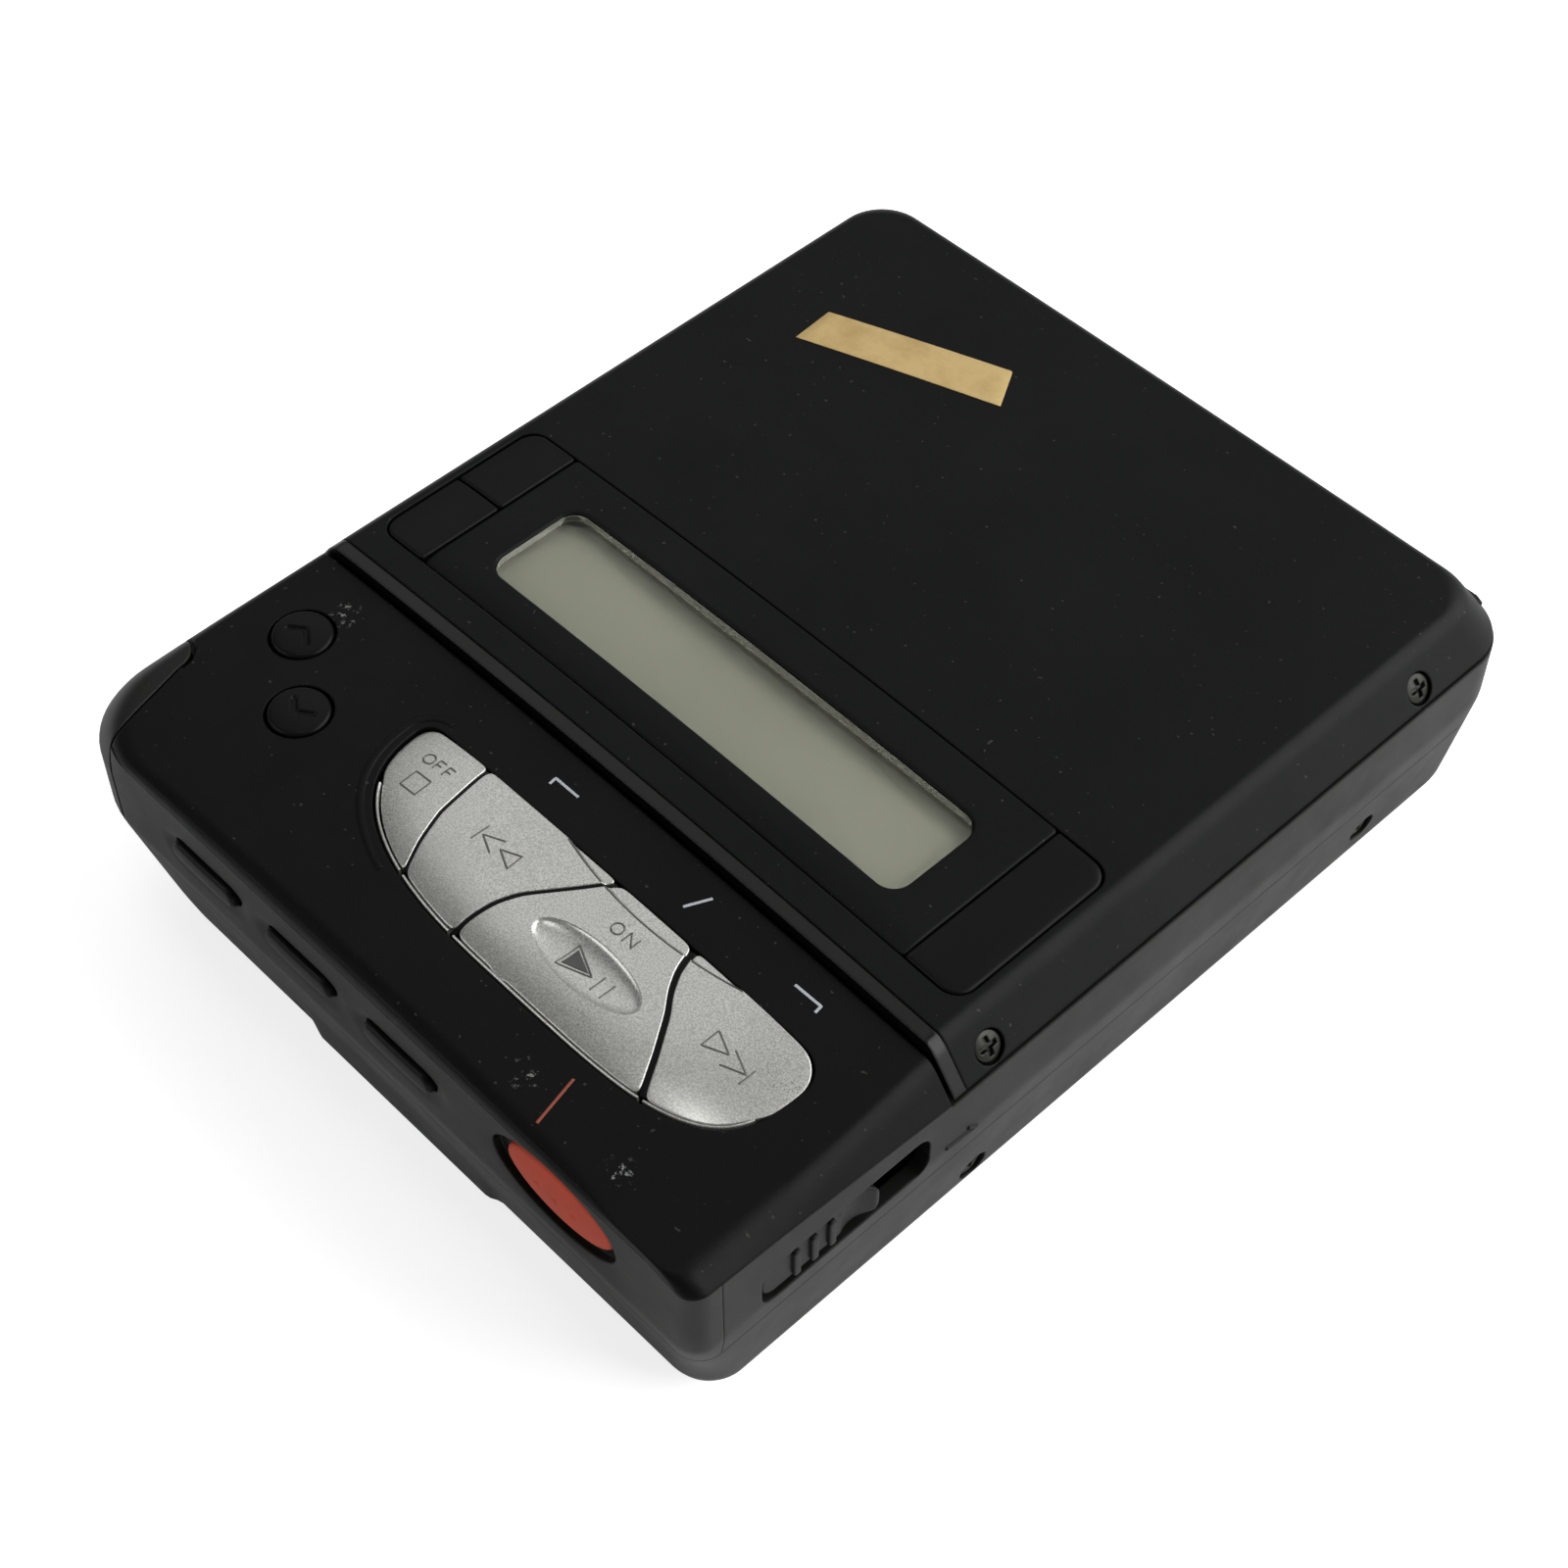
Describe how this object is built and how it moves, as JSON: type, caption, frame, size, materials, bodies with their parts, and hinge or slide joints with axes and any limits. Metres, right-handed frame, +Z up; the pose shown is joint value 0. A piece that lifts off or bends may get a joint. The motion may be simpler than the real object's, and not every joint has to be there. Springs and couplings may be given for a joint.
{
  "type": "portable minidisc recorder",
  "caption": "Pocket minidisc recorder in black with a hinged top-loading lid, display, silver key cluster, red record key, side release slide, battery door, sockets and inner drive.",
  "frame": {"origin": "centre of the underside", "axes": "+X to the right seen from the front, +Y towards the lid hinge, +Z up"},
  "size_m": [0.085, 0.1058, 0.0279],
  "materials": {
    "case_black": "fine-grained moulded black plastic",
    "deck_black": "fine-grained moulded black plastic, slightly worn",
    "lid_black": "satin black paint with a fine grain",
    "key_black": "smooth satin black plastic",
    "key_silver": "satin silver paint with a fine metal flake",
    "record_red": "coral red moulded plastic",
    "clear_window": "clear window",
    "lcd_grey": "unlit grey-green liquid crystal cell",
    "inner_plastic": "dark moulded plastic",
    "steel": "bare steel",
    "board_green": "green circuit board",
    "chip_black": "black chip packages",
    "soft_rubber": "soft rubber",
    "contact_brass": "gilt contact springs",
    "battery_grey": "sleeved metal can",
    "lens_glass": "coated lens"
  },
  "bodies": {
    "body": {"bottom_case": "case_black", "mid_frame": "case_black", "front_panel": "case_black", "deck_cover": "deck_black", "door_pin": "steel", "battery_case": "inner_plastic", "battery_pack": "battery_grey", "battery_contacts": "contact_brass", "eject_spring": "steel", "hinge_pins": "steel", "front_board": "board_green", "key_board": "board_green", "key_mat": "soft_rubber", "main_board": "board_green", "board_chips": "chip_black", "drive_chassis": "steel", "rubber_dampers": "soft_rubber", "chassis_screws": "steel", "spindle_motor": "steel", "guide_rods": "steel", "sled_motor": "steel", "audio_jacks": "inner_plastic", "power_jack": "inner_plastic", "body_screws": "steel"},
    "lid": {"lid_cover": "lid_black", "lid_lip": "lid_black", "display_panel": "deck_black", "lcd_window": "clear_window", "lcd_module": "lcd_grey", "lid_board": "board_green", "lid_frame": "inner_plastic", "cartridge_holder": "steel", "lid_hooks": "steel", "lid_screws": "steel"},
    "door": {"battery_door": "case_black"},
    "eject": {"eject_slider": "case_black", "latch_plate": "steel"},
    "turntable": {"turntable": "steel"},
    "sled": {"pickup_sled": "inner_plastic", "objective_lens": "lens_glass"},
    "screw": {"lead_screw": "steel"},
    "head": {"head_carriage": "inner_plastic"},
    "stop": {"stop_key": "key_silver"},
    "previous": {"previous_key": "key_silver"},
    "play": {"play_key": "key_silver"},
    "next": {"next_key": "key_silver"},
    "volume_up": {"volume_up_key": "key_black"},
    "volume_down": {"volume_down_key": "key_black"},
    "left_front": {"left_front_key": "key_black"},
    "middle_front": {"middle_front_key": "key_black"},
    "right_front": {"right_front_key": "key_black"},
    "record": {"record_key": "record_red"},
    "rear_lid": {"rear_lid_key": "key_black"},
    "front_lid": {"front_lid_key": "key_black"},
    "enter": {"enter_key": "key_black"}
  },
  "joints": [
    {"name": "lid_hinge", "type": "hinge", "parent": "body", "child": "lid", "pos_m": [0, 0.0513, 0.0212], "axis": [-1, 0, 0], "range_deg": [0, 35]},
    {"name": "door_hinge", "type": "hinge", "parent": "body", "child": "door", "pos_m": [-0.04, -0.0422, 0.018], "axis": [0, 0, -1], "range_deg": [0, 65]},
    {"name": "eject_slide", "type": "slide", "parent": "body", "child": "eject", "axis": [0, 1, 0], "range_m": [0, 0.006], "stiffness_N_per_m": 120},
    {"name": "turntable_spin", "type": "hinge", "parent": "body", "child": "turntable", "pos_m": [0, 0.014, 0.012], "axis": [0, 0, 1], "continuous": true},
    {"name": "sled_slide", "type": "slide", "parent": "body", "child": "sled", "axis": [1, 0, 0], "range_m": [0, 0.0165]},
    {"name": "screw_turn", "type": "hinge", "parent": "body", "child": "screw", "pos_m": [0.02, 0, 0.0106], "axis": [1, 0, 0], "range_deg": [0, 1980]},
    {"name": "head_slide", "type": "slide", "parent": "lid", "child": "head", "axis": [1, 0, 0], "range_m": [0, 0.0165]},
    {"name": "stop_press", "type": "slide", "parent": "body", "child": "stop", "axis": [0, 0, -1], "range_m": [0, 0.0004], "stiffness_N_per_m": 600},
    {"name": "previous_press", "type": "slide", "parent": "body", "child": "previous", "axis": [0, 0, -1], "range_m": [0, 0.0004], "stiffness_N_per_m": 600},
    {"name": "play_press", "type": "slide", "parent": "body", "child": "play", "axis": [0, 0, -1], "range_m": [0, 0.0004], "stiffness_N_per_m": 600},
    {"name": "next_press", "type": "slide", "parent": "body", "child": "next", "axis": [0, 0, -1], "range_m": [0, 0.0004], "stiffness_N_per_m": 600},
    {"name": "volume_up_press", "type": "slide", "parent": "body", "child": "volume_up", "axis": [0, 0, -1], "range_m": [0, 0.0004], "stiffness_N_per_m": 600},
    {"name": "volume_down_press", "type": "slide", "parent": "body", "child": "volume_down", "axis": [0, 0, -1], "range_m": [0, 0.0004], "stiffness_N_per_m": 600},
    {"name": "left_front_press", "type": "slide", "parent": "body", "child": "left_front", "axis": [0, 1, 0], "range_m": [0, 0.0004], "stiffness_N_per_m": 600},
    {"name": "middle_front_press", "type": "slide", "parent": "body", "child": "middle_front", "axis": [0, 1, 0], "range_m": [0, 0.0004], "stiffness_N_per_m": 600},
    {"name": "right_front_press", "type": "slide", "parent": "body", "child": "right_front", "axis": [0, 1, 0], "range_m": [0, 0.0004], "stiffness_N_per_m": 600},
    {"name": "record_press", "type": "slide", "parent": "body", "child": "record", "axis": [0, 1, 0], "range_m": [0, 0.0004], "stiffness_N_per_m": 600},
    {"name": "rear_lid_press", "type": "slide", "parent": "lid", "child": "rear_lid", "axis": [0, 0, -1], "range_m": [0, 0.0004], "stiffness_N_per_m": 600},
    {"name": "front_lid_press", "type": "slide", "parent": "lid", "child": "front_lid", "axis": [0, 0, -1], "range_m": [0, 0.0004], "stiffness_N_per_m": 600},
    {"name": "enter_press", "type": "slide", "parent": "lid", "child": "enter", "axis": [0, 0, -1], "range_m": [0, 0.0004], "stiffness_N_per_m": 600}
  ],
  "couplings": [
    {"joint": "screw_turn", "follows": "sled_slide", "rad_per_m": 2094.4},
    {"joint": "head_slide", "follows": "sled_slide", "ratio": 1}
  ]
}
